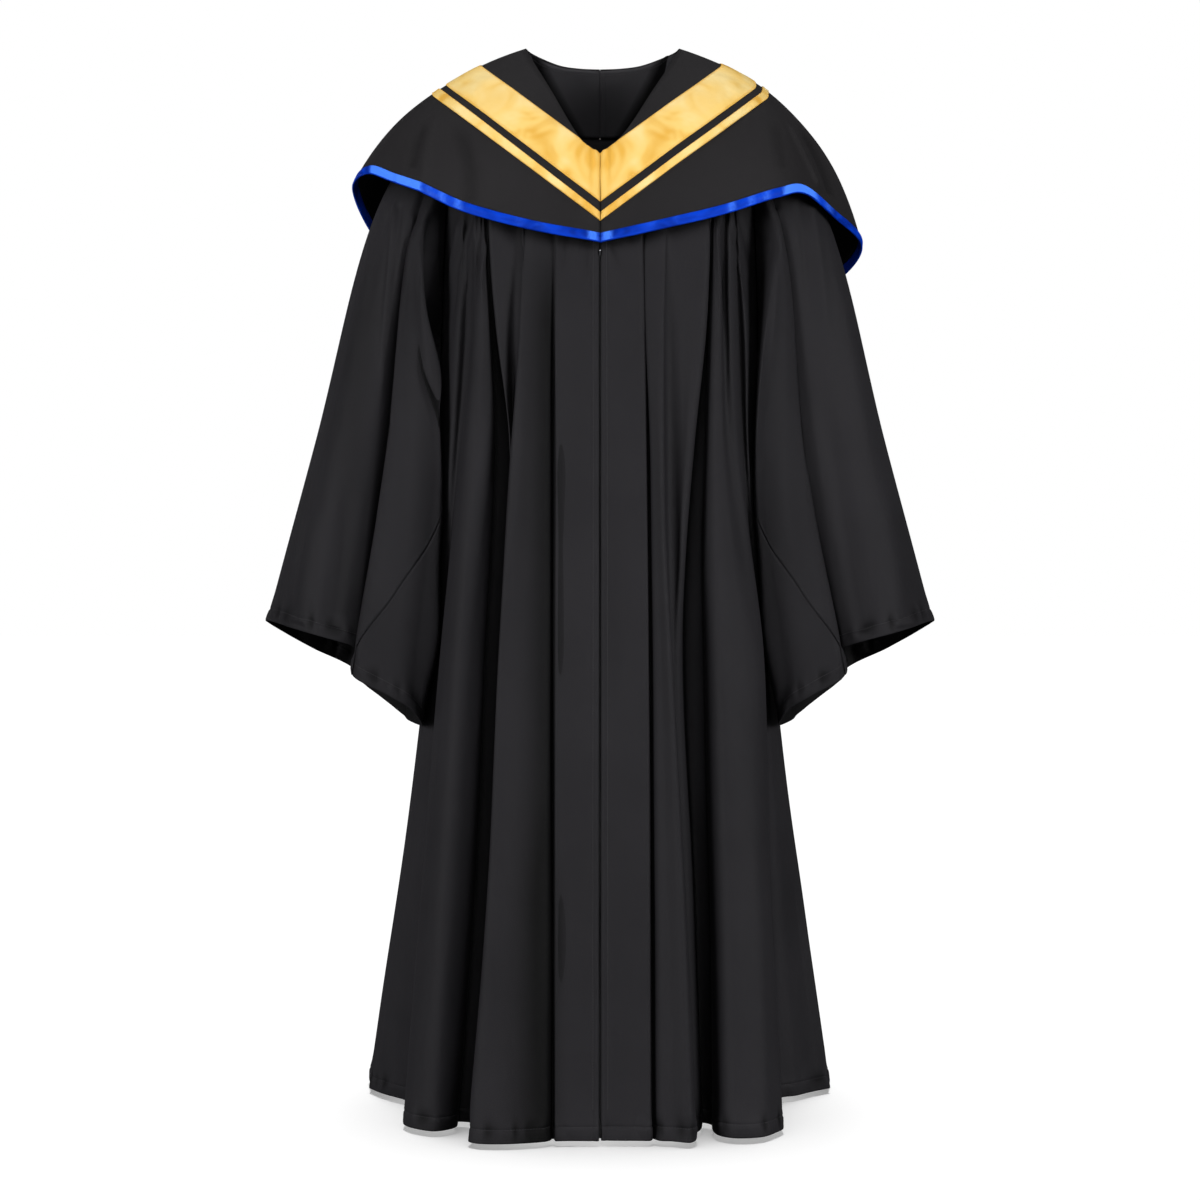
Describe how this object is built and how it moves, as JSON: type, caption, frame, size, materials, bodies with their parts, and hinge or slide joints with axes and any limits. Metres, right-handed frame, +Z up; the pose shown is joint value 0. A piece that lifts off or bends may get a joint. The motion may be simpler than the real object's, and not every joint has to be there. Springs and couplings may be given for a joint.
{
  "type": "graduation gown with shoulder cape",
  "caption": "Full-length black gown, open and hollow as when worn, with wide bell sleeves, pleated zip front and a shoulder cape trimmed with gold bands and a blue edge.",
  "frame": {"origin": "between the two sides of the neck opening, on top of the shoulders, where the wearer holds the gown up", "axes": "+Z up, -Y out of the front with the zip, +X towards the right-hand sleeve as seen from the front"},
  "size_m": [0.78, 0.4709, 1.2178],
  "materials": {
    "gown_cloth": "black woven polyester with a soft sheen",
    "cape_cloth": "black woven polyester with a soft sheen",
    "gold_satin": "golden yellow satin ribbon",
    "blue_satin": "bright blue satin, padded edge",
    "zip_tape": "black woven zip tape",
    "slider_metal": "dull nickel"
  },
  "bodies": {
    "root": {"front_panel_left": "gown_cloth", "front_panel_right": "gown_cloth", "placket_left": "gown_cloth", "placket_right": "gown_cloth", "back_panel": "gown_cloth", "zip_slider": "slider_metal", "zip_tape_left": "zip_tape", "zip_tape_right": "zip_tape", "front_yoke_left": "gown_cloth", "front_yoke_right": "gown_cloth", "back_yoke_left": "gown_cloth", "back_yoke_right": "gown_cloth", "sleeve_left": "gown_cloth", "sleeve_right": "gown_cloth", "sleeve_gore_left": "gown_cloth", "sleeve_gore_right": "gown_cloth", "cape_left": "cape_cloth", "cape_right": "cape_cloth", "gold_band_left": "gold_satin", "gold_band_right": "gold_satin", "gold_stripe_left": "gold_satin", "gold_stripe_right": "gold_satin", "binding_left": "blue_satin", "binding_right": "blue_satin"}
  },
  "joints": []
}
